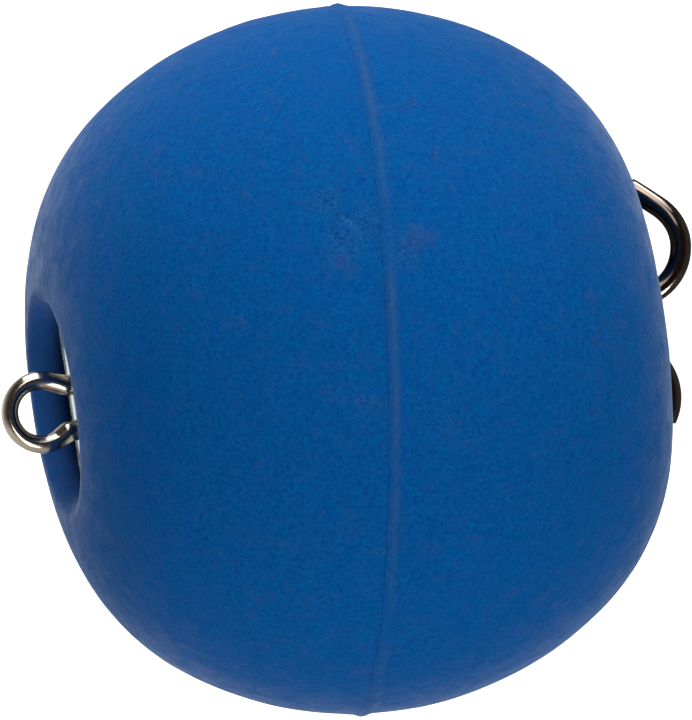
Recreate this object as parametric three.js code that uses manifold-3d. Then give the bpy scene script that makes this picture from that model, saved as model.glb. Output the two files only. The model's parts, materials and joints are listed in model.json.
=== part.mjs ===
// A jacketed ball weight on a through-wire clip, hanging from its line eye.
// Millimetres, +Z up along the clip. The origin is the centre of the line eye.
import * as THREE from 'three';
import { mergeVertices } from 'three/addons/utils/BufferGeometryUtils.js';
import Module from 'manifold-3d';

// Driving sizes. Heights are measured from the ball's centre, up towards the eye.
const BALL_RADIUS = 22.5;
const JACKET_THICKNESS = 3.0;
const CORE_GAP = 0.3;
const CORE_END_HEIGHT = 16.0;
const BORE_RADIUS = 3.2;

// Each pole is a broad shoulder that runs into a rounded lip round a shallow dish.
const EYE_POLE = { shoulder: 15.1, shoulderAngle: 54.1, lip: 1.3, lipAngle: 6.0 };
const EAR_POLE = { shoulder: 14.4, shoulderAngle: 53.9, lip: 1.3, lipAngle: 4.7 };
const DISH_FLOOR_HEIGHT = 17.1;
const DISH_FLOOR_EDGE = 0.35;
const FLOOR_HOLE_RADIUS = 3.35;
const FLOOR_UNDERSIDE = 16.3;

// The two jacket halves meet on a plane that is not quite square to the wire.
const SEAM_TILT = 7.4;
const SEAM_AZIMUTH = 30.2;
const SEAM_RISE = 0.13;
const SEAM_GAP = 0.9;
const SEAM_BEAD_WIDTH = 0.6;
const SEAM_BEAD_PROUD = 0.2;

const SLEEVE_INNER_RADIUS = 2.75;
const SLEEVE_OUTER_RADIUS = 3.1;
const SLEEVE_HALF_LENGTH = 17.0;

const PLATE_LENGTH = 10.8;
const PLATE_WIDTH = 5.1;
const PLATE_CORNER = 1.25;
const PLATE_THICKNESS = 0.6;
const PLATE_TOP_HEIGHT = 17.9;
const PLATE_SLOT_LENGTH = 5.5;
const PLATE_SLOT_WIDTH = 1.7;

// The clip is one wire: a line eye, two legs through the bore and two clinched ears.
const WIRE_RADIUS = 0.62;
const EYE = { x: -0.42, height: 20.24, radius: 2.03, closing: 25, neck: 18.5, halfNeck: 1.43 };
const LONG_EAR = { x: 4.51, height: 19.1, radius: 3.24, turn: 135, tail: 2.45, lean: 1.9 };
const SHORT_EAR = { x: -4.86, height: 17.05, radius: 3.24, turn: 125, tail: 0, lean: 0 };

const AROUND = 44;
const AROUND_BORE = 32;
const WIRE_SIDES = 12;
const rad = THREE.MathUtils.degToRad;

const wasm = await Module();
wasm.setup();

// ---- helpers ----------------------------------------------------------------

// Points on an arc in the (radius, height) half plane; angles start at the axis.
function arc(centreX, centreZ, radius, from, to, step) {
  const count = Math.max(1, Math.round(Math.abs(to - from) / step));
  return Array.from({ length: count + 1 }, (_, i) => {
    const angle = rad(from + (to - from) * i / count);
    return new THREE.Vector2(centreX + radius * Math.sin(angle), centreZ + radius * Math.cos(angle));
  });
}

// A closed loop of (radius, height) points, turned round Z.
function turned(points, segments) {
  const loop = [...points, points[0].clone()];
  return new THREE.LatheGeometry(loop, segments).rotateX(Math.PI / 2);
}

function toManifold(geometry) {
  const bare = geometry.clone();
  bare.deleteAttribute('normal');
  bare.deleteAttribute('uv');
  const merged = mergeVertices(bare, 1e-5);
  return new wasm.Manifold(new wasm.Mesh({
    numProp: 3,
    vertProperties: new Float32Array(merged.attributes.position.array),
    triVerts: new Uint32Array(merged.index.array),
  }));
}

function fromManifold(solid) {
  const mesh = solid.getMesh();
  const geometry = new THREE.BufferGeometry();
  geometry.setAttribute('position', new THREE.BufferAttribute(new Float32Array(mesh.vertProperties), 3));
  geometry.setIndex(new THREE.BufferAttribute(new Uint32Array(mesh.triVerts), 1));
  return geometry;
}

// ---- the ball ---------------------------------------------------------------

// One pole's outline, from the hole in the dish floor out to where the sphere begins.
function poleOutline(pole) {
  const offset = BALL_RADIUS - pole.shoulder;
  const shoulderX = offset * Math.sin(rad(pole.shoulderAngle));
  const shoulderZ = offset * Math.cos(rad(pole.shoulderAngle));
  const lipX = shoulderX + (pole.shoulder - pole.lip) * Math.sin(rad(pole.lipAngle));
  const lipZ = shoulderZ + (pole.shoulder - pole.lip) * Math.cos(rad(pole.lipAngle));
  const wall = lipX - pole.lip;
  return [
    new THREE.Vector2(FLOOR_HOLE_RADIUS, DISH_FLOOR_HEIGHT),
    new THREE.Vector2(wall - DISH_FLOOR_EDGE, DISH_FLOOR_HEIGHT),
    new THREE.Vector2(wall, DISH_FLOOR_HEIGHT + DISH_FLOOR_EDGE),
    ...arc(lipX, lipZ, pole.lip, -90, pole.lipAngle, 20),
    ...arc(shoulderX, shoulderZ, pole.shoulder, pole.lipAngle, pole.shoulderAngle, 8).slice(1),
  ];
}

function mirrored(points) {
  return points.map((p) => new THREE.Vector2(p.x, -p.y)).reverse();
}

function jacketRing() {
  const inner = BALL_RADIUS - JACKET_THICKNESS;
  const innerEnd = THREE.MathUtils.radToDeg(Math.acos(FLOOR_UNDERSIDE / inner));
  const outside = [
    ...poleOutline(EYE_POLE),
    ...arc(0, 0, BALL_RADIUS, EYE_POLE.shoulderAngle, 180 - EAR_POLE.shoulderAngle, 8).slice(1, -1),
    ...mirrored(poleOutline(EAR_POLE)),
  ];
  const inside = [
    new THREE.Vector2(FLOOR_HOLE_RADIUS, -FLOOR_UNDERSIDE),
    ...arc(0, 0, inner, 180 - innerEnd, innerEnd, 12),
    new THREE.Vector2(FLOOR_HOLE_RADIUS, FLOOR_UNDERSIDE),
  ];
  return turned([...outside, ...inside].reverse(), AROUND);
}

function seamPlacement() {
  const azimuth = rad(SEAM_AZIMUTH);
  const axis = new THREE.Vector3(-Math.sin(azimuth), Math.cos(azimuth), 0);
  return new THREE.Matrix4().makeRotationAxis(axis, rad(SEAM_TILT)).setPosition(0, 0, SEAM_RISE);
}

function jacketHalves() {
  const whole = toManifold(jacketRing());
  const side = 3 * BALL_RADIUS;
  const halfSpace = (sign) => {
    const box = new THREE.BoxGeometry(side, side, side);
    box.translate(0, 0, sign * (side + SEAM_GAP) / 2);
    return toManifold(box.applyMatrix4(seamPlacement()));
  };
  return [1, -1].map((sign) => fromManifold(whole.intersect(halfSpace(sign))));
}

function seamBead() {
  const half = SEAM_BEAD_WIDTH / 2;
  const inner = BALL_RADIUS - JACKET_THICKNESS + CORE_GAP;
  const crown = BALL_RADIUS + SEAM_BEAD_PROUD;
  const points = [
    new THREE.Vector2(inner, -half),
    new THREE.Vector2(BALL_RADIUS, -half),
    new THREE.Vector2(crown, -half / 2),
    new THREE.Vector2(crown, half / 2),
    new THREE.Vector2(BALL_RADIUS, half),
    new THREE.Vector2(inner, half),
  ];
  return turned(points, AROUND).applyMatrix4(seamPlacement());
}

function ballCore() {
  const radius = BALL_RADIUS - JACKET_THICKNESS - CORE_GAP;
  const end = THREE.MathUtils.radToDeg(Math.acos(CORE_END_HEIGHT / radius));
  const points = [
    new THREE.Vector2(BORE_RADIUS, CORE_END_HEIGHT),
    ...arc(0, 0, radius, end, 180 - end, 12),
    new THREE.Vector2(BORE_RADIUS, -CORE_END_HEIGHT),
  ];
  return turned(points.reverse(), AROUND_BORE);
}

// ---- the bush: a sleeve and its two end plates --------------------------------

function boreSleeve() {
  const points = [
    new THREE.Vector2(SLEEVE_INNER_RADIUS, -SLEEVE_HALF_LENGTH),
    new THREE.Vector2(SLEEVE_OUTER_RADIUS, -SLEEVE_HALF_LENGTH),
    new THREE.Vector2(SLEEVE_OUTER_RADIUS, SLEEVE_HALF_LENGTH),
    new THREE.Vector2(SLEEVE_INNER_RADIUS, SLEEVE_HALF_LENGTH),
  ];
  return turned(points, AROUND_BORE);
}

function obround(path, length, width) {
  const reach = (length - width) / 2;
  path.absarc(reach, 0, width / 2, -Math.PI / 2, Math.PI / 2, false);
  path.absarc(-reach, 0, width / 2, Math.PI / 2, 3 * Math.PI / 2, false);
  path.closePath();
  return path;
}

function roundedRectangle(path, length, width, corner) {
  const alongX = length / 2 - corner;
  const alongY = width / 2 - corner;
  path.absarc(alongX, alongY, corner, 0, Math.PI / 2, false);
  path.absarc(-alongX, alongY, corner, Math.PI / 2, Math.PI, false);
  path.absarc(-alongX, -alongY, corner, Math.PI, 3 * Math.PI / 2, false);
  path.absarc(alongX, -alongY, corner, 3 * Math.PI / 2, 2 * Math.PI, false);
  path.closePath();
  return path;
}

function endPlate() {
  const shape = roundedRectangle(new THREE.Shape(), PLATE_LENGTH, PLATE_WIDTH, PLATE_CORNER);
  shape.holes.push(obround(new THREE.Path(), PLATE_SLOT_LENGTH, PLATE_SLOT_WIDTH));
  return new THREE.ExtrudeGeometry(shape, { depth: PLATE_THICKNESS, bevelEnabled: false, curveSegments: 5 });
}

// ---- the wire clip --------------------------------------------------------------

// The route of the wire as bend points, evenly shared along the curve parameter.
class WireRoute extends THREE.Curve {
  constructor(points) {
    super();
    this.points = points;
  }

  getPoint(t, target = new THREE.Vector3()) {
    const along = THREE.MathUtils.clamp(t, 0, 1) * (this.points.length - 1);
    const i = Math.min(Math.floor(along), this.points.length - 2);
    return target.lerpVectors(this.points[i], this.points[i + 1], along - i);
  }

  getUtoTmapping(u) {
    return u;
  }
}

// From the leg outwards and down, round the ear and back along its tail. A tail can lean out of the clip's plane.
function earPoints(ear) {
  const side = Math.sign(ear.x);
  const points = [];
  const bends = Math.round(ear.turn / 15);
  for (let i = 0; i <= bends; i += 1) {
    const angle = rad(ear.turn * i / bends);
    const x = ear.x - side * ear.radius * Math.cos(angle);
    points.push(new THREE.Vector3(x, 0, -ear.height - ear.radius * Math.sin(angle)));
  }
  if (ear.tail > 0) {
    const angle = rad(ear.turn);
    const back = new THREE.Vector3(side * Math.sin(angle), 0, -Math.cos(angle));
    points.push(points.at(-1).clone().addScaledVector(back, ear.tail));
  }
  const bottom = Math.abs(ear.x);
  const tip = Math.abs(points.at(-1).x);
  for (const point of points) {
    const past = Math.max(0, (Math.abs(point.x) - bottom) / (tip - bottom));
    point.y = ear.lean * past ** 2;
  }
  return points;
}

function eyePoints() {
  const from = -EYE.closing;
  const to = 180 + EYE.closing;
  const bends = 16;
  const ring = Array.from({ length: bends + 1 }, (_, i) => {
    const angle = rad(from + (to - from) * i / bends);
    return new THREE.Vector3(
      EYE.x + EYE.radius * Math.cos(angle), 0, EYE.height + EYE.radius * Math.sin(angle));
  });
  return [
    new THREE.Vector3(EYE.x + EYE.halfNeck, 0, EYE.neck),
    ...ring,
    new THREE.Vector3(EYE.x - EYE.halfNeck, 0, EYE.neck),
  ];
}

function wireClip() {
  const route = new WireRoute([
    ...earPoints(LONG_EAR).reverse(),
    ...eyePoints(),
    ...earPoints(SHORT_EAR),
  ]);
  const section = new THREE.Shape();
  section.absarc(0, 0, WIRE_RADIUS, 0, 2 * Math.PI, false);
  return new THREE.ExtrudeGeometry(section, {
    steps: route.points.length - 1,
    curveSegments: WIRE_SIDES / 2,
    extrudePath: route,
  });
}

// ---- the assembly ---------------------------------------------------------------

const blueJacket = { color: 0x24599a, roughness: 0.85, metalness: 0 };
const bondLine = { color: 0x2c5f9c, roughness: 0.8, metalness: 0 };
const castCore = { color: 0x6c6e72, roughness: 0.7, metalness: 0.6 };
const plated = { color: 0xd9ddd2, roughness: 0.25, metalness: 1 };
const tube = { color: 0xb9bcbe, roughness: 0.4, metalness: 1 };
const nickelWire = { color: 0xb8ada2, roughness: 0.18, metalness: 1 };

const object = new THREE.Group();
const ball = new THREE.Group();
ball.position.set(-EYE.x, 0, -EYE.height);
object.add(ball);

function add(name, geometry, look, height = 0) {
  const mesh = new THREE.Mesh(geometry, new THREE.MeshStandardMaterial(look));
  mesh.name = name;
  mesh.position.z = height;
  ball.add(mesh);
}

const [eyeHalf, earHalf] = jacketHalves();
add('ball_core', ballCore(), castCore);
add('jacket_eye_half', eyeHalf, blueJacket);
add('jacket_ear_half', earHalf, blueJacket);
add('seam_bead', seamBead(), bondLine);
add('bore_sleeve', boreSleeve(), tube);
add('eye_side_plate', endPlate(), plated, PLATE_TOP_HEIGHT - PLATE_THICKNESS);
add('ear_side_plate', endPlate(), plated, -PLATE_TOP_HEIGHT);
add('wire_clip', wireClip(), nickelWire);

export default object;
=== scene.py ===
import json
import math

import bpy
from mathutils import Matrix, Vector, noise


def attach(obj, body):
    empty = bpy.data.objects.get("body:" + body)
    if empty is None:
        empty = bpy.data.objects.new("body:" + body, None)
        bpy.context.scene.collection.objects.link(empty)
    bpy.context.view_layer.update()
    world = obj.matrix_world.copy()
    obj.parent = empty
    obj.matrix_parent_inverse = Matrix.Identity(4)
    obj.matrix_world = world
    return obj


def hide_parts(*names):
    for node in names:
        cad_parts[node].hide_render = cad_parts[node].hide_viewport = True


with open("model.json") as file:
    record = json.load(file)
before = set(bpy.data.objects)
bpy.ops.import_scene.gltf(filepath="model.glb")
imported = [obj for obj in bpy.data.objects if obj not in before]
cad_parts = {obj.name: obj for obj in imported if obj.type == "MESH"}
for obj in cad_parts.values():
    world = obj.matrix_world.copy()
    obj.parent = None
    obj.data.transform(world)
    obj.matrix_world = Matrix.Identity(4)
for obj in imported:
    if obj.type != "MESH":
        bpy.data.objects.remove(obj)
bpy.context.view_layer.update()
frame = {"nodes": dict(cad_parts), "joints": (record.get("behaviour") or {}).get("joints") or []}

MM = 0.001

# ---- sizes, in millimetres, heights measured from the ball's centre towards the line eye ----

BALL_RADIUS = 22.5
EYE_POLE = {"shoulder": 15.1, "shoulder_angle": 54.1, "lip": 1.3, "lip_angle": 6.0}
EAR_POLE = {"shoulder": 14.4, "shoulder_angle": 53.9, "lip": 1.3, "lip_angle": 4.7}
EAR_LIP_SLUMP = 1.2
EAR_LIP_RISE = 0.25
EAR_LIP_SLUMP_TURN = -130.0
DISH_FLOOR = 17.1
DISH_EDGE = 0.5
FLOOR_HOLE = 3.3
SEAM_TILT = 7.4
SEAM_AZIMUTH = 30.2
SEAM_RISE = 0.13
SEAM_WANDER = 0.09
SEAM_HALF_WIDTH = 0.42
SEAM_PROUD = 0.15
SEAM_DEPTH = 0.35
EYE_HALF_CREASE = 0.03
EAR_HALF_CREASE = 0.012

SLEEVE_INNER = 2.75
SLEEVE_OUTER = 3.1
SLEEVE_HALF_LENGTH = 17.0

PLATE_LENGTH = 10.8
PLATE_WIDTH = 5.1
PLATE_CORNER = 1.25
PLATE_THICKNESS = 0.6
PLATE_TOP = 17.9
PLATE_SLOT_LENGTH = 5.5
PLATE_SLOT_WIDTH = 1.7

EYE_X = -0.42
EYE_HEIGHT = 20.24
EYE_RADIUS = 2.03
EYE_CLOSING = 25.0
EYE_NECKS = (18.4, 18.65)
EYE_HALF_NECK = 1.43
# The CAD's long ear has a tail of 2.45 mm. It is shorter here, because this lip is raised in places and
# would meet it as the ball turns.
LONG_EAR = {"x": 4.51, "height": 19.1, "radius": 3.24, "turn": 135.0, "tail": 2.1, "lean": 1.9}
SHORT_EAR = {"x": -4.86, "height": 17.05, "radius": 3.24, "turn": 125.0, "tail": 0.0, "lean": 0.0}
WIRE_AT_EYE = 0.54
WIRE_AT_LEGS = 0.66
WIRE_AT_EARS = 0.68
WIRE_BEVEL = 0.09
PLATE_BEVEL = 0.1
SLEEVE_FLARE = 0.12

# Marks on the jacket: place in millimetres from the ball's centre, and radius.
SCUFFS = [
    ((7.5, -21.0, 3.3), 2.6), ((8.2, -20.9, 1.9), 2.2), ((6.8, -21.4, 0.1), 2.2), ((10.1, -19.8, 3.7), 1.6),
]
BLOOMS = [((5.6, -21.4, 3.9), 1.5), ((7.0, -21.35, -1.3), 1.5)]
DARK_MARKS = [
    ((9.2, -20.25, 3.4), 0.30), ((8.95, -20.45, 2.8), 0.22), ((7.1, -21.3, 0.6), 0.30),
    ((6.4, -21.5, 1.0), 0.36), ((5.8, -21.7, 1.3), 0.25), ((9.1, -15.2, 13.9), 0.16),
    ((4.8, -16.1, -15.0), 0.16),
]
LIGHT_MARKS = [((8.9, -20.42, 3.14), 0.16), ((8.68, -20.55, 2.94), 0.16), ((8.46, -20.67, 2.74), 0.16)]

# ---- the photograph's viewpoint and the floor, in metres, with the lens in millimetres ----

VIEW_TURN = math.radians(11.1)
VIEW_ROLL = math.radians(8.4)
VIEW_DISTANCE = 1.5
VIEW_SHIFT = 0.00027
LENS = 1180.0
FLOOR_DROP = 0.3
FLOOR_HALF = 6.0

spin = next(j for j in frame["joints"] if j["name"] == "ball_spin")
CENTRE = Vector(spin["pos_m"])


# ---- mesh helpers ----

def at_centre(point):
    """A point in millimetres from the ball's centre, in the row frame in metres."""
    return CENTRE + Vector(point) * MM


def make_object(name, points, faces, material, body, marks=None):
    """One visible piece. Marks are numbers for each point, which its material reads by their names."""
    mesh = bpy.data.meshes.new(name)
    mesh.from_pydata([at_centre(p) for p in points], [], faces)
    mesh.validate()
    mesh.update()
    for polygon in mesh.polygons:
        polygon.use_smooth = True
    piece = bpy.data.objects.new(name, mesh)
    bpy.context.scene.collection.objects.link(piece)
    piece.data.materials.append(material)
    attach(piece, body)
    for mark_name, values in (marks or {}).items():
        layer = mesh.attributes.new(mark_name, "FLOAT", "POINT")
        layer.data.foreach_set("value", values)
    return piece


def grid_faces(rows, columns, close_rows=False):
    """Quads over rings of points, one ring after another. Close_rows joins the last ring to the first."""
    faces = []
    for i in range(rows if close_rows else rows - 1):
        for j in range(columns):
            a = i * columns + j
            b = i * columns + (j + 1) % columns
            c = (i + 1) % rows * columns + (j + 1) % columns
            d = (i + 1) % rows * columns + j
            faces.append((a, b, c, d))
    return faces


def flipped(faces):
    return [tuple(reversed(face)) for face in faces]


def arc(centre_x, centre_z, radius, start, end, step):
    """Points along an arc, with angles in degrees from +Z towards +X and about one step apart."""
    count = max(1, round(abs(end - start) / step))
    angles = [math.radians(start + (end - start) * i / count) for i in range(count + 1)]
    return [(centre_x + radius * math.sin(a), centre_z + radius * math.cos(a)) for a in angles]


def lathe(profile, segments):
    """A closed loop of (radius, height) turned round the axis."""
    points = []
    for radius, height in profile:
        for j in range(segments):
            turn = 2 * math.pi * j / segments
            points.append((radius * math.cos(turn), radius * math.sin(turn), height))
    return points, grid_faces(len(profile), segments, close_rows=True)


def smoothstep(low, high, value):
    t = min(1.0, max(0.0, (value - low) / (high - low)))
    return t * t * (3 - 2 * t)


# ---- the jacket ----

def lip_centre(pole):
    """Centres of the arcs of one pole's shoulder and lip, as (radius, height)."""
    offset = BALL_RADIUS - pole["shoulder"]
    turn = math.radians(pole["shoulder_angle"])
    shoulder_x, shoulder_z = offset * math.sin(turn), offset * math.cos(turn)
    reach = pole["shoulder"] - pole["lip"]
    tip = math.radians(pole["lip_angle"])
    lip = (shoulder_x + reach * math.sin(tip), shoulder_z + reach * math.cos(tip))
    return (shoulder_x, shoulder_z), lip


def pole_floor(pole):
    """The dish's floor and the fillet at the foot of its wall."""
    wall = lip_centre(pole)[1][0] - pole["lip"]
    floor = [(FLOOR_HOLE + (wall - DISH_EDGE - FLOOR_HOLE) * i / 8, DISH_FLOOR) for i in range(8)]
    return floor + arc(wall - DISH_EDGE, DISH_FLOOR + DISH_EDGE, DISH_EDGE, 180, 90, 15)


def pole_outline(pole):
    """Outline of one pole, from the hole in the dish floor out to where the sphere begins."""
    shoulder_at, lip_at = lip_centre(pole)
    lip = arc(*lip_at, pole["lip"], -90, pole["lip_angle"], 8)
    shoulder = arc(*shoulder_at, pole["shoulder"], pole["lip_angle"], pole["shoulder_angle"], 1.2)
    return pole_floor(pole) + lip + shoulder[1:]


def seam_normal():
    """The seam's plane is tilted from square to the wire."""
    tilt, azimuth = math.radians(SEAM_TILT), math.radians(SEAM_AZIMUTH)
    return Vector((math.sin(tilt) * math.cos(azimuth), math.sin(tilt) * math.sin(azimuth), math.cos(tilt)))


NORMAL = seam_normal()


def seam_wander(turn):
    """How far the seam strays from its plane, in millimetres, round the ball."""
    slow = noise.noise(Vector((math.cos(turn) * 4, math.sin(turn) * 4, 3.7)))
    quick = noise.noise(Vector((math.cos(turn) * 14, math.sin(turn) * 14, 8.1)))
    return SEAM_WANDER * (1.6 * slow + 0.7 * quick)


def seam_angle(turn, offset=0.0):
    """Angle from the pole at which the seam crosses this meridian, moved by offset millimetres."""
    level = NORMAL.x * math.cos(turn) + NORMAL.y * math.sin(turn)
    size = math.hypot(NORMAL.z, level)
    lean = math.atan2(level, NORMAL.z)
    return lean + math.acos((seam_wander(turn) + SEAM_RISE + offset) / (BALL_RADIUS * size))


def bumped(point, seam_lift=0.0):
    """The moulded surface is a little uneven, and rises at the seam."""
    p = Vector(point)
    out = p.normalized()
    rough = 0.030 * noise.noise(p * 0.35) + 0.010 * noise.noise(p * 1.1 + Vector((9, 2, 5)))
    for place, radius in SCUFFS:
        near = 1 - smoothstep(0.3 * radius, radius, (p - Vector(place)).length)
        if near > 0:
            rough += near * (0.05 * noise.noise(p * 1.3 + Vector((4, 4, 1))) - 0.02)
    return p + out * (rough + seam_lift)


def ear_lip_slump(turn, angle):
    """How much lower the ear side's lip sits on one side of its dish, in millimetres."""
    share = 1 - smoothstep(20, 38, math.degrees(angle))
    lean = 0.5 + 0.5 * math.cos(turn - math.radians(EAR_LIP_SLUMP_TURN))
    return share * (EAR_LIP_SLUMP * lean - EAR_LIP_RISE)


def seam_swell(distance, crease=0.0):
    """Height of the swelling at this distance from the seam, in millimetres, less the crease at its edge."""
    return 0.05 * math.exp(-(distance / 0.6) ** 2) - crease * math.exp(-(distance / 0.14) ** 2)


def seam_strength(point):
    """How strongly the seam shows at this place: uneven along its length, and worn away at the scuff."""
    p = Vector(point)
    worn = 1 - smoothstep(2.0, 4.5, (p - Vector(SCUFFS[0][0])).length)
    uneven = 0.62 + 0.8 * noise.noise(p * 0.2 + Vector((17, 10, -2))) + 0.25 * noise.noise(p * 1.3)
    return max(0.12, min(1.0, uneven)) * (1 - 0.75 * worn)


def seam_haze(point, from_middle):
    """How much of the seam's purple haze shows at this distance from its middle, in millimetres."""
    return seam_strength(point) * math.exp(-(from_middle / 0.3) ** 2)


def jacket_half(pole, sign, edge):
    """One half of the jacket, from its dish to the seam. Edge is where it ends beside the seam."""
    around = 480
    outline = pole_outline(pole)
    ball_steps = 46
    points = []
    rows = len(outline) + ball_steps
    turns = [2 * math.pi * j / around for j in range(around)]
    start = math.radians(pole["shoulder_angle"])
    columns = []
    from_seam, hazes, shade_in_corner, in_dish = [], [], [], []
    crease = EYE_HALF_CREASE if sign > 0 else EAR_HALF_CREASE
    dish_rows = len(pole_floor(pole)) + 8
    for turn in turns:
        if sign > 0:
            stop = seam_angle(turn, edge)
        else:
            stop = math.pi - seam_angle(turn, -edge)
        column = list(outline)
        for i in range(1, ball_steps + 1):
            share = i / ball_steps
            angle = start + (stop - start) * (1 - (1 - share) ** 1.9)
            column.append((BALL_RADIUS * math.sin(angle), BALL_RADIUS * math.cos(angle)))
        columns.append((turn, stop, column))
    for i in range(rows):
        for turn, stop, column in columns:
            radius, height = column[i]
            angle = math.atan2(radius, height)
            if sign < 0 and height > DISH_FLOOR + DISH_EDGE:
                above_floor = smoothstep(DISH_FLOOR + DISH_EDGE, DISH_FLOOR + 2, height)
                height -= ear_lip_slump(turn, angle) * above_floor
            point = (radius * math.cos(turn), radius * math.sin(turn), sign * height)
            away = max(0.0, (stop - angle) * BALL_RADIUS)
            points.append(bumped(point, seam_swell(away, crease)))
            from_seam.append(away)
            hazes.append(seam_haze(point, away + SEAM_HALF_WIDTH) if away < 1 else 0.0)
            # Painted shade: the dish's floor and the foot of its wall are marked for darkening.
            near_floor = 1 - smoothstep(DISH_FLOOR + 0.2, DISH_FLOOR + 0.95, height)
            shade_in_corner.append(near_floor if i < dish_rows else 0.0)
            in_dish.append(1 - smoothstep(dish_rows - 6, dish_rows + 10, i))
    # The last row turns in under the bead, so that the edge has thickness.
    last = points[-around:]
    points += [p * (1 - SEAM_DEPTH / BALL_RADIUS) for p in last]
    from_seam += [0.0] * around
    hazes += hazes[-around:]
    shade_in_corner += [0.0] * around
    in_dish += [0.0] * around
    faces = grid_faces(rows + 1, around)
    if sign > 0:
        faces = flipped(faces)
    marks = {"from_seam": from_seam, "seam_haze": hazes, "shade_in_corner": shade_in_corner, "in_dish": in_dish}
    return points, faces, marks


def seam_ridge():
    """The raised flash between the halves, uneven in height and width."""
    around = 960
    steps = 6
    crest = [(i / steps, 0.5 + 0.5 * math.cos(math.pi * i / steps)) for i in range(-steps, steps + 1)]
    section = [(-1.0, -SEAM_DEPTH)] + crest + [(1.0, -SEAM_DEPTH)]
    points, hazes = [], []
    for across, lift in section:
        for j in range(around):
            turn = 2 * math.pi * j / around
            ring = Vector((math.cos(turn), math.sin(turn), 0))
            width = SEAM_HALF_WIDTH * (1.06 + 0.10 * noise.noise(ring * 21 + Vector((0, 0, 2))))
            angle = seam_angle(turn, -across * width)
            outward = Vector((math.sin(angle) * ring.x, math.sin(angle) * ring.y, math.cos(angle)))
            place = outward * BALL_RADIUS
            height = SEAM_PROUD * (0.45 + 0.75 * seam_strength(place)) * (1 + 0.3 * noise.noise(ring * 47))
            points.append(bumped(place, height * lift + seam_swell(0) if lift >= 0 else lift))
            hazes.append(seam_haze(place, across * width))
    return points, grid_faces(len(section), around, close_rows=True), {"seam_haze": hazes}


# ---- the wire clip ----

def ear_route(ear):
    """(x, y, height, half width) from the leg out round the ear and along its tail, which may lean in y."""
    side = math.copysign(1.0, ear["x"])
    route = []
    bends = 36
    for i in range(bends + 1):
        angle = math.radians(ear["turn"] * i / bends)
        x = ear["x"] - side * ear["radius"] * math.cos(angle)
        z = -ear["height"] - ear["radius"] * math.sin(angle)
        route.append((x, z))
    if ear["tail"]:
        angle = math.radians(ear["turn"])
        x, z = route[-1]
        for i in range(1, 7):
            out = ear["tail"] * i / 6
            route.append((x + side * out * math.sin(angle), z - out * math.cos(angle)))
    bottom, tip = abs(ear["x"]), abs(route[-1][0])
    leans = [ear["lean"] * max(0.0, (abs(x) - bottom) / (tip - bottom)) ** 2 for x, z in route]
    return [(x, y, z, WIRE_AT_EARS) for (x, z), y in zip(route, leans)]


def eye_route():
    bends = 80
    start, end = -EYE_CLOSING, 180 + EYE_CLOSING
    ring = []
    for i in range(bends + 1):
        angle = math.radians(start + (end - start) * i / bends)
        half = WIRE_AT_EYE + 0.06 * (1 - smoothstep(-0.2, 0.7, math.sin(angle)))
        x, z = EYE_X + EYE_RADIUS * math.cos(angle), EYE_HEIGHT + EYE_RADIUS * math.sin(angle)
        ring.append((x, 0.0, z, half))
    return ring


def straight(a, b, steps):
    """Points between two route points. The outer ones lie close to the ends, so that a bend stays tight."""
    close = 0.18 / math.dist(a[:3], b[:3])
    shares = [close] + [i / steps for i in range(1, steps)] + [1 - close]
    return [tuple(p + (q - p) * share for p, q in zip(a, b)) for share in shares]


def wire_route():
    long_ear = ear_route(LONG_EAR)
    short_ear = ear_route(SHORT_EAR)
    ring = eye_route()
    neck = [
        (EYE_X + side * EYE_HALF_NECK, 0.0, height, WIRE_AT_LEGS) for side, height in zip((1, -1), EYE_NECKS)
    ]
    return (
        long_ear[::-1]
        + straight(long_ear[0], neck[0], 20) + [neck[0]]
        + straight(neck[0], ring[0], 2) + ring + straight(ring[-1], neck[1], 2)
        + [neck[1]] + straight(neck[1], short_ear[0], 20)
        + short_ear
    )


def painted_shade_at(centre, turn):
    """How much painted shade darkens the wire's reflections, fitted to the photograph: inside the ring on its
    +X side, and on the ears.
    """
    away = math.cos(turn)
    if centre.z > 0:
        # On the ring, away is 1 at its outside and -1 at its inside.
        on_side = smoothstep(EYE_X - 1.2, EYE_X - 0.4, centre.x)
        return on_side * smoothstep(18.2, 18.9, centre.z) * smoothstep(0.5, 0.85, -away)
    # On the ears it is the other way round. Only a strip down their outside stays bright.
    tail = smoothstep(0.02, 0.3, centre.y)
    inside = smoothstep(-0.5 - 0.15 * tail, -0.2 - 0.25 * tail, away)
    tail_outside = tail * smoothstep(0.6, 0.75, -away)
    return smoothstep(17.0, 18.0, -centre.z) * max(inside, tail_outside)


def wire_clip():
    """The bent wire, as rings of points along its route, with its two cut ends bevelled and closed."""
    around = 28
    route = wire_route()
    points, painted_shade = [], []
    rows = []
    for i, (x, y, z, half) in enumerate(route):
        before = Vector(route[max(0, i - 1)][:3])
        after = Vector(route[min(len(route) - 1, i + 1)][:3])
        rows.append((Vector((x, y, z)), (after - before).normalized(), half))
    first, last = rows[0], rows[-1]
    rows = (
        [(first[0], first[1], first[2] - WIRE_BEVEL)]
        + [(first[0] + first[1] * WIRE_BEVEL, first[1], first[2])]
        + rows[1:-1]
        + [(last[0] - last[1] * WIRE_BEVEL, last[1], last[2])]
        + [(last[0], last[1], last[2] - WIRE_BEVEL)]
    )
    for row, (centre, along, half) in enumerate(rows):
        across = Vector((0, 1, 0)).cross(along).normalized()
        square = along.cross(across)
        for j in range(around):
            turn = 2 * math.pi * j / around
            points.append(centre + (across * math.cos(turn) + square * math.sin(turn)) * half)
            # The cut ends get full painted shade, which hides their bright faces.
            at_cut_end = row < 2 or row >= len(rows) - 2
            painted_shade.append(1.0 if at_cut_end else painted_shade_at(centre, turn))
    faces = grid_faces(len(rows), around)
    faces.append(tuple(reversed(range(around))))
    faces.append(tuple(range(len(points) - around, len(points))))
    return points, flipped(faces), {"painted_shade": painted_shade}


# ---- the bush ----

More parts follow.
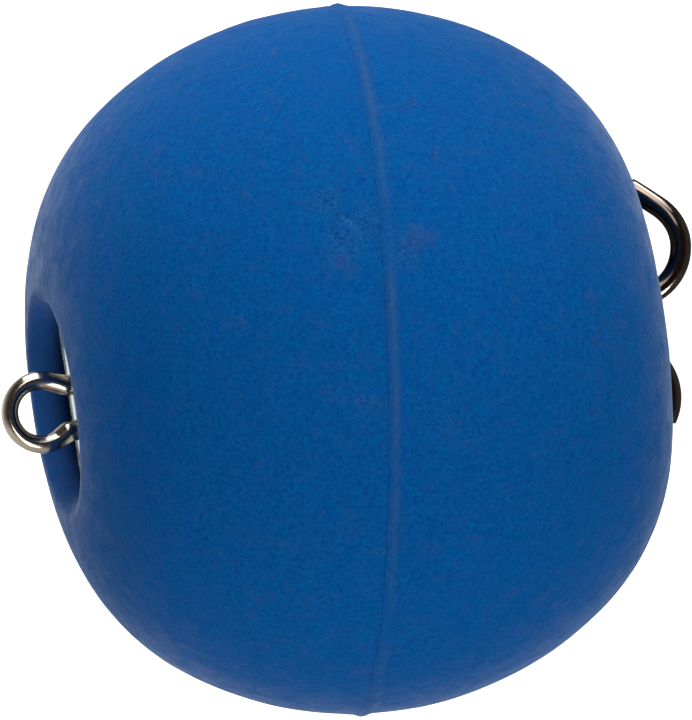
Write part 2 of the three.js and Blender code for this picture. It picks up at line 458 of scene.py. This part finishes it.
def obround(length, width, count):
    """Points round an obround, evenly spaced by angle at its middle and ends alike."""
    reach = (length - width) / 2
    quarter = count // 4
    outline = []
    for end in (1, -1):
        for i in range(quarter):
            angle = math.radians(-90 + 180 * (i + 0.5) / quarter)
            outline.append((end * (reach + width / 2 * math.cos(angle)), end * width / 2 * math.sin(angle)))
        for i in range(quarter):
            share = (i + 0.5) / quarter
            outline.append((end * reach * (1 - 2 * share), end * width / 2))
    return outline


def rounded_rectangle(length, width, corner, count):
    """Points round a rectangle with rounded corners, in step with an obround of the same count."""
    reach_x, reach_y = length / 2 - corner, width / 2 - corner
    quarter = count // 4
    half_end = quarter // 2
    outline = []
    for end in (1, -1):
        for i in range(quarter):
            angle = math.radians(-90 + 180 * (i + 0.5) / quarter)
            rise = reach_y if i >= half_end else -reach_y
            x, y = reach_x + corner * math.cos(angle), rise + corner * math.sin(angle)
            outline.append((end * x, end * y))
        for i in range(quarter):
            share = (i + 0.5) / quarter
            outline.append((end * reach_x * (1 - 2 * share), end * width / 2))
    return outline


def end_plate(sign):
    """The plate in one dish, with a slot for both legs and bevelled edges. Sign is 1 on the eye's side."""
    count = 128
    cuts = (PLATE_BEVEL, 0, 0, PLATE_BEVEL)
    outer = [
        rounded_rectangle(PLATE_LENGTH - 2 * cut, PLATE_WIDTH - 2 * cut, PLATE_CORNER - cut, count)
        for cut in cuts
    ]
    slot = [obround(PLATE_SLOT_LENGTH + 2 * cut, PLATE_SLOT_WIDTH + 2 * cut, count) for cut in cuts]
    heights = [0, PLATE_BEVEL, PLATE_THICKNESS - PLATE_BEVEL, PLATE_THICKNESS]
    loops = list(zip(outer, heights)) + list(zip(reversed(slot), reversed(heights)))
    points = []
    for outline, rise in loops:
        z = sign * (PLATE_TOP - PLATE_THICKNESS + rise)
        points += [(x, y, z) for x, y in outline]
    faces = grid_faces(len(loops), count, close_rows=True)
    return points, faces if sign > 0 else flipped(faces)


def bore_sleeve():
    """The tube through the core, with slightly flared ends."""
    end = SLEEVE_HALF_LENGTH
    profile = [
        (SLEEVE_INNER, -end + 2), (SLEEVE_INNER + SLEEVE_FLARE, -end + 0.1), (SLEEVE_INNER + 0.2, -end),
        (SLEEVE_OUTER - 0.05, -end), (SLEEVE_OUTER, -end + 0.1), (SLEEVE_OUTER, end - 0.1),
        (SLEEVE_OUTER - 0.05, end), (SLEEVE_INNER + 0.2, end), (SLEEVE_INNER + SLEEVE_FLARE, end - 0.1),
        (SLEEVE_INNER, end - 2),
    ]
    return lathe(profile, 96)


# ---- materials ----

class Nodes:
    """A small builder for node materials."""

    def __init__(self, name):
        self.material = bpy.data.materials.new(name)
        self.material.use_nodes = True
        self.tree = self.material.node_tree
        self.surface = self.tree.nodes["Principled BSDF"]

    def add(self, kind, **values):
        node = self.tree.nodes.new(kind)
        for key, value in values.items():
            setattr(node, key, value)
        return node

    def link(self, source, target):
        self.tree.links.new(source, target)

    def place(self):
        return self.add("ShaderNodeTexCoord").outputs["Object"]

    def noise(self, scale, detail, rough, distortion=0.0):
        node = self.add("ShaderNodeTexNoise")
        node.inputs["Scale"].default_value = scale
        node.inputs["Detail"].default_value = detail
        node.inputs["Roughness"].default_value = rough
        node.inputs["Distortion"].default_value = distortion
        self.link(self.place(), node.inputs["Vector"])
        return node.outputs["Fac"]

    def ramp(self, source, stops):
        node = self.add("ShaderNodeValToRGB")
        points = node.color_ramp.elements
        while len(points) < len(stops):
            points.new(0.5)
        for point, (position, colour) in zip(points, stops):
            point.position = position
            point.color = (*colour, 1)
        self.link(source, node.inputs["Fac"])
        return node.outputs["Color"]

    def mix(self, factor, a, b):
        node = self.add("ShaderNodeMix", data_type="RGBA")
        for socket, value in zip((node.inputs[0], node.inputs[6], node.inputs[7]), (factor, a, b)):
            if isinstance(value, (int, float)):
                socket.default_value = value
            elif isinstance(value, tuple):
                socket.default_value = (*value, 1)
            else:
                self.link(value, socket)
        return node.outputs[2]

    def math(self, operation, a, b=0.0, clamp=False):
        node = self.add("ShaderNodeMath", operation=operation, use_clamp=clamp)
        for socket, value in zip(node.inputs, (a, b)):
            if isinstance(value, (int, float)):
                socket.default_value = value
            else:
                self.link(value, socket)
        return node.outputs[0]

    def span(self, source, low, high, out_low, out_high):
        node = self.add("ShaderNodeMapRange")
        for key, value in (("From Min", low), ("From Max", high), ("To Min", out_low), ("To Max", out_high)):
            node.inputs[key].default_value = value
        self.link(source, node.inputs["Value"])
        return node.outputs["Result"]

    def mark(self, name):
        """The numbers stored on the piece's points under this name."""
        return self.add("ShaderNodeAttribute", attribute_name=name).outputs["Fac"]

    def near(self, marks):
        """1 at these places on the ball, fading to 0 at their radius."""
        total = 0.0
        for place, radius in marks:
            gap = self.add("ShaderNodeVectorMath", operation="DISTANCE")
            self.link(self.place(), gap.inputs[0])
            gap.inputs[1].default_value = at_centre(place)
            share = self.span(gap.outputs["Value"], radius * MM * 0.35, radius * MM, 1, 0)
            total = self.math("MAXIMUM", total, share)
        return total

    def bump(self, height, strength, distance):
        node = self.add("ShaderNodeBump")
        node.inputs["Strength"].default_value = strength
        node.inputs["Distance"].default_value = distance
        self.link(height, node.inputs["Height"])
        self.link(node.outputs["Normal"], self.surface.inputs["Normal"])

    def set(self, **values):
        for key, value in values.items():
            socket = self.surface.inputs[key.replace("_", " ")]
            if isinstance(value, tuple):
                socket.default_value = (*value, 1)
            elif isinstance(value, (int, float)):
                socket.default_value = value
            else:
                self.link(value, socket)


BLUE = (0.0003, 0.0835, 0.309)
PURPLE = (0.0080, 0.077, 0.297)
SEAM_PURPLE = (0.026, 0.096, 0.272)
# Painted sheen for the dish.
DISH_SHEEN_PURPLE = (0.026, 0.086, 0.295)
BLOOM_PURPLE = (0.024, 0.080, 0.285)
TORN_DARK = (0.0004, 0.036, 0.17)
TORN_PALE = (0.012, 0.134, 0.42)
PALE_MARK = (0.03, 0.15, 0.43)
DARK_MARK = (0.001, 0.03, 0.1)
# Painted shade for the crease beside the seam.
CREASE_SHADE_BLUE = (0.0005, 0.036, 0.13)
# Painted shade for the corner at the dish's floor.
CORNER_SHADE_BLUE = (0.001, 0.006, 0.02)


def blue_rubber(name, on_jacket):
    """Matte blue rubber with fine grain and mottling. The jacket also has its scuff, marks and dish, with
    painted shade beside the seam and in the dish's corner, and painted sheen in the dish.
    """
    n = Nodes(name)
    mottle = n.noise(700, 7, 0.78)
    other = n.noise(1500, 4, 0.7, distortion=0.4)
    speckle = n.noise(3600, 3, 0.7)
    grain = n.noise(9500, 2, 0.6)
    light = n.math("ADD", n.math("MULTIPLY", speckle, 0.68), n.math("MULTIPLY", grain, 0.32))
    red, green, blue = BLUE
    dull, bright = (0.0, green * 0.63, blue * 0.83), (0.0016, green * 1.42, blue * 1.18)
    colour = n.mix(n.span(light, 0.34, 0.66, 0, 1), dull, bright)
    purple = n.math("MULTIPLY", n.span(mottle, 0.49, 0.64, 0, 1), n.span(light, 0.40, 0.62, 0.1, 1))
    colour = n.mix(purple, colour, PURPLE)
    teal = n.span(other, 0.54, 0.72, 0, 1)
    colour = n.mix(n.math("MULTIPLY", teal, 0.5), colour, (red * 1.5, green * 1.06, blue * 0.84))
    relief = n.math("ADD", n.math("MULTIPLY", grain, 0.4), speckle)
    band = n.math("MULTIPLY", n.mark("seam_haze"), n.span(light, 0.36, 0.62, 0.55, 1.1), clamp=True)
    colour = n.mix(band, colour, SEAM_PURPLE)
    if on_jacket:
        torn = n.noise(3400, 5, 0.78, distortion=1.4)
        edge = n.span(n.noise(620, 5, 0.72), 0.3, 0.7, -0.9, 0.9)
        scuff = n.span(n.math("ADD", n.near(SCUFFS), edge), 0.2, 0.9, 0, 1)
        flakes = n.mix(n.span(torn, 0.36, 0.64, 0, 1), TORN_DARK, TORN_PALE)
        colour = n.mix(n.math("MULTIPLY", scuff, 0.85), colour, flakes)
        bloom = n.span(n.math("ADD", n.near(BLOOMS), edge), 0.35, 1.1, 0, 1)
        bloom = n.math("MULTIPLY", bloom, n.span(torn, 0.36, 0.6, 0.2, 1))
        colour = n.mix(n.math("MULTIPLY", bloom, 0.8), colour, BLOOM_PURPLE)
        colour = n.mix(n.math("MULTIPLY", n.near(LIGHT_MARKS), 0.6), colour, PALE_MARK)
        dark = n.math("MULTIPLY", n.near(DARK_MARKS), n.span(torn, 0.42, 0.56, 1, 0.3))
        colour = n.mix(n.math("MULTIPLY", dark, 0.75), colour, DARK_MARK)
        # Painted shade in the crease beside the seam.
        crease = n.span(n.mark("from_seam"), 0.0, 0.22, 0.16, 0)
        colour = n.mix(crease, colour, CREASE_SHADE_BLUE)
        # Painted sheen: a mottled purple haze over the dish and its lip.
        painted_dish_sheen = n.math("MULTIPLY", n.mark("in_dish"), n.span(mottle, 0.35, 0.65, 0.5, 1))
        colour = n.mix(painted_dish_sheen, colour, DISH_SHEEN_PURPLE)
        # Painted shade in the corner at the dish's floor.
        colour = n.mix(n.math("MULTIPLY", n.mark("shade_in_corner"), 0.9), colour, CORNER_SHADE_BLUE)
        relief = n.math("ADD", relief, n.math("MULTIPLY", n.math("MULTIPLY", scuff, torn), 1.6))
    n.set(Base_Color=colour, Roughness=n.span(speckle, 0.3, 0.7, 0.62, 0.8))
    n.set(Sheen_Weight=n.span(mottle, 0.38, 0.66, 0.14, 0.42))
    n.set(Specular_IOR_Level=0.01, Sheen_Roughness=0.34, Sheen_Tint=(0.78, 0.85, 0.95))
    n.bump(relief, 0.4, 0.00006)
    return n.material


def polished_wire():
    """Warm polished nickel, darkened by painted shade where the wire's reflections are marked dark."""
    n = Nodes("nickel_wire")
    stain = n.noise(420, 3, 0.6)
    draw = n.noise(5200, 2, 0.5)
    colour = n.ramp(stain, [(0.3, (0.46, 0.39, 0.31)), (0.55, (0.58, 0.51, 0.42)), (0.8, (0.66, 0.60, 0.51))])
    # Painted shade: the wire's reflections are darkened where marked.
    colour = n.mix(n.math("MULTIPLY", n.mark("painted_shade"), 0.9), colour, (0.085, 0.06, 0.05))
    n.set(Base_Color=colour, Metallic=1.0, Roughness=n.span(draw, 0.3, 0.7, 0.11, 0.16))
    return n.material


def bright_plate():
    n = Nodes("plated_steel")
    cloud = n.noise(900, 3, 0.6)
    colour = n.ramp(cloud, [(0.3, (0.80, 0.86, 0.76)), (0.6, (0.88, 0.92, 0.85)), (0.85, (0.93, 0.94, 0.92))])
    n.set(Base_Color=colour, Metallic=0.9, Roughness=n.span(cloud, 0.3, 0.7, 0.2, 0.32))
    n.bump(n.noise(3800, 2, 0.6), 0.04, 0.00002)
    return n.material


def plain_tube():
    n = Nodes("sleeve_tube")
    lines = n.noise(1500, 3, 0.6)
    n.set(Base_Color=n.ramp(lines, [(0.3, (0.42, 0.43, 0.44)), (0.7, (0.6, 0.61, 0.61))]))
    n.set(Metallic=1.0, Roughness=n.span(lines, 0.3, 0.7, 0.3, 0.5))
    return n.material


def cast_metal():
    n = Nodes("cast_core")
    pits = n.noise(700, 4, 0.65)
    n.set(Base_Color=n.ramp(pits, [(0.3, (0.09, 0.095, 0.1)), (0.7, (0.2, 0.2, 0.21))]))
    n.set(Metallic=0.8, Roughness=n.span(pits, 0.3, 0.7, 0.5, 0.75))
    n.bump(pits, 0.4, 0.0003)
    return n.material


jacket_blue = blue_rubber("blue_jacket", True)
bond_blue = blue_rubber("bond_line", False)
wire_metal = polished_wire()
plate_metal = bright_plate()
tube_metal = plain_tube()
core_metal = cast_metal()


# ---- the pieces ----

def build_jacket():
    for name, pole, sign, edge in (
        ("jacket_eye_half", EYE_POLE, 1, SEAM_HALF_WIDTH),
        ("jacket_ear_half", EAR_POLE, -1, -SEAM_HALF_WIDTH),
    ):
        points, faces, marks = jacket_half(pole, sign, edge)
        piece = make_object(name + "_skin", points, faces, jacket_blue, "ball", marks)
        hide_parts(name)
    points, faces, marks = seam_ridge()
    piece = make_object("seam_ridge", points, faces, bond_blue, "ball", marks)
    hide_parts("seam_bead")


def build_bush():
    for name, sign in (("eye_side_plate", 1), ("ear_side_plate", -1)):
        points, faces = end_plate(sign)
        piece = make_object(name + "_pressed", points, faces, plate_metal, "bush")
        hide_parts(name)
    points, faces = bore_sleeve()
    piece = make_object("flared_sleeve", points, faces, tube_metal, "bush")
    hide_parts("bore_sleeve")


def build_clip():
    points, faces, marks = wire_clip()
    piece = make_object("bent_wire_clip", points, faces, wire_metal, "clip", marks)
    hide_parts("wire_clip")


build_jacket()
build_bush()
build_clip()

# The core is hidden and plain, so it stays the CAD's own solid and only gets its material.
core = frame["nodes"]["ball_core"]
core.data.materials.clear()
core.data.materials.append(core_metal)


# ---- camera, lights and floor ----

def view_axes():
    """Right, up and back of the camera, in the row frame."""
    back = Vector((0, -math.cos(VIEW_TURN), math.sin(VIEW_TURN)))
    along = Vector((0, -math.sin(VIEW_TURN), -math.cos(VIEW_TURN)))
    side = Vector((1, 0, 0))
    right = along * math.cos(VIEW_ROLL) - side * math.sin(VIEW_ROLL)
    up = along * math.sin(VIEW_ROLL) + side * math.cos(VIEW_ROLL)
    return right, up, back


RIGHT, UP, BACK = view_axes()


def add_camera():
    data = bpy.data.cameras.new("camera")
    data.lens = LENS
    data.clip_start, data.clip_end = 0.05, 20
    camera = bpy.data.objects.new("camera", data)
    bpy.context.scene.collection.objects.link(camera)
    turn = Matrix((RIGHT, UP, BACK)).transposed()
    place = CENTRE + BACK * VIEW_DISTANCE - RIGHT * VIEW_SHIFT
    camera.matrix_world = Matrix.Translation(place) @ turn.to_4x4()
    bpy.context.scene.camera = camera


def add_softbox(name, right, up, back, width, height, radiance, shows_in_metal=True):
    """A softbox at a place along the view axes, in metres, aimed at the ball. Some don't show in metal."""
    data = bpy.data.lights.new(name, "AREA")
    data.shape = "RECTANGLE"
    data.size, data.size_y = width, height
    data.energy = radiance * math.pi * width * height
    light = bpy.data.objects.new(name, data)
    bpy.context.scene.collection.objects.link(light)
    away = RIGHT * right + UP * up + BACK * back
    light.location = CENTRE + away
    light.rotation_mode = "QUATERNION"
    light.rotation_quaternion = away.to_track_quat("Z", "Y")
    light.visible_glossy = shows_in_metal


# Pale panels in the dim studio: where each one is, and how bright it gets towards its middle.
PANELS = (
    (RIGHT * -0.35 - UP * 0.9 + BACK * 0.2, [(0.5, 0.0), (0.66, 0.18), (0.82, 0.52), (1.0, 0.6)]),
    (RIGHT * -0.97 - BACK * 0.24, [(0.4, 0.0), (0.67, 0.08), (0.85, 0.18), (1.0, 0.38)]),
    (RIGHT * -0.45 - BACK * 0.89, [(0.3, 0.0), (0.6, 0.15), (0.85, 0.6), (1.0, 0.75)]),
)
STUDIO = (0.046, 0.038, 0.038)


def add_world():
    """White behind the object. What lights it is dim, with panels below, at the left and behind it."""
    world = bpy.data.worlds.new("studio")
    bpy.context.scene.world = world
    world.use_nodes = True
    tree = world.node_tree
    studio = tree.nodes["Background"]
    place = tree.nodes.new("ShaderNodeTexCoord")
    colour = STUDIO
    for towards, stops in PANELS:
        level = tree.nodes.new("ShaderNodeVectorMath")
        level.operation = "DOT_PRODUCT"
        level.inputs[1].default_value = towards.normalized()
        ramp = tree.nodes.new("ShaderNodeValToRGB")
        points = ramp.color_ramp.elements
        while len(points) < len(stops):
            points.new(0.5)
        for point, (position, glow) in zip(points, stops):
            point.position = position
            point.color = (glow, glow, glow, 1)
        total = tree.nodes.new("ShaderNodeMix")
        total.data_type, total.blend_type = "RGBA", "ADD"
        total.inputs[0].default_value = 1
        if isinstance(colour, tuple):
            total.inputs[6].default_value = (*colour, 1)
        else:
            tree.links.new(colour, total.inputs[6])
        tree.links.new(place.outputs["Generated"], level.inputs[0])
        tree.links.new(level.outputs["Value"], ramp.inputs["Fac"])
        tree.links.new(ramp.outputs["Color"], total.inputs[7])
        colour = total.outputs[2]
    tree.links.new(colour, studio.inputs["Color"])
    backdrop = tree.nodes.new("ShaderNodeBackground")
    backdrop.inputs["Color"].default_value = (1, 1, 1, 1)
    path = tree.nodes.new("ShaderNodeLightPath")
    mix = tree.nodes.new("ShaderNodeMixShader")
    tree.links.new(path.outputs["Is Camera Ray"], mix.inputs["Fac"])
    tree.links.new(studio.outputs["Background"], mix.inputs[1])
    tree.links.new(backdrop.outputs["Background"], mix.inputs[2])
    tree.links.new(mix.outputs["Shader"], tree.nodes["World Output"].inputs["Surface"])


def add_floor():
    """A plain pale floor. It glows a little, and neither lights the object nor shows in its metal."""
    mesh = bpy.data.meshes.new("floor")
    corners = [(x * FLOOR_HALF, y * FLOOR_HALF, 0) for x, y in ((-1, -1), (1, -1), (1, 1), (-1, 1))]
    mesh.from_pydata(corners, [], [(0, 1, 2, 3)])
    floor = bpy.data.objects.new("floor", mesh)
    bpy.context.scene.collection.objects.link(floor)
    floor.location.z = CENTRE.z - FLOOR_DROP
    n = Nodes("pale_floor")
    n.set(Base_Color=(0.9, 0.9, 0.9), Roughness=0.9, Specular_IOR_Level=0.0)
    n.set(Emission_Color=(1, 1, 1), Emission_Strength=1.0)
    mesh.materials.append(n.material)
    floor.visible_glossy = False
    floor.visible_diffuse = False


add_camera()
add_world()
add_floor()
add_softbox("top_softbox", 0, 0.5, 0.05, 0.5, 0.45, 4.31)
add_softbox("top_front_softbox", 0, 0.4, 0.35, 0.5, 0.2, 2.8)
add_softbox("low_softbox", 0, -0.25, 0.45, 0.4, 0.15, 3.27)
add_softbox("low_right_softbox", 0.35, -0.3, 0.3, 0.2, 0.2, 11.33)
add_softbox("right_rear_softbox", 0.5, 0, -0.25, 0.3, 0.6, 1.5, shows_in_metal=False)
add_softbox("rear_softbox", 0.1, -0.1, -0.6, 0.5, 0.5, 2.2, shows_in_metal=False)
bpy.context.scene.view_settings.view_transform = "Standard"
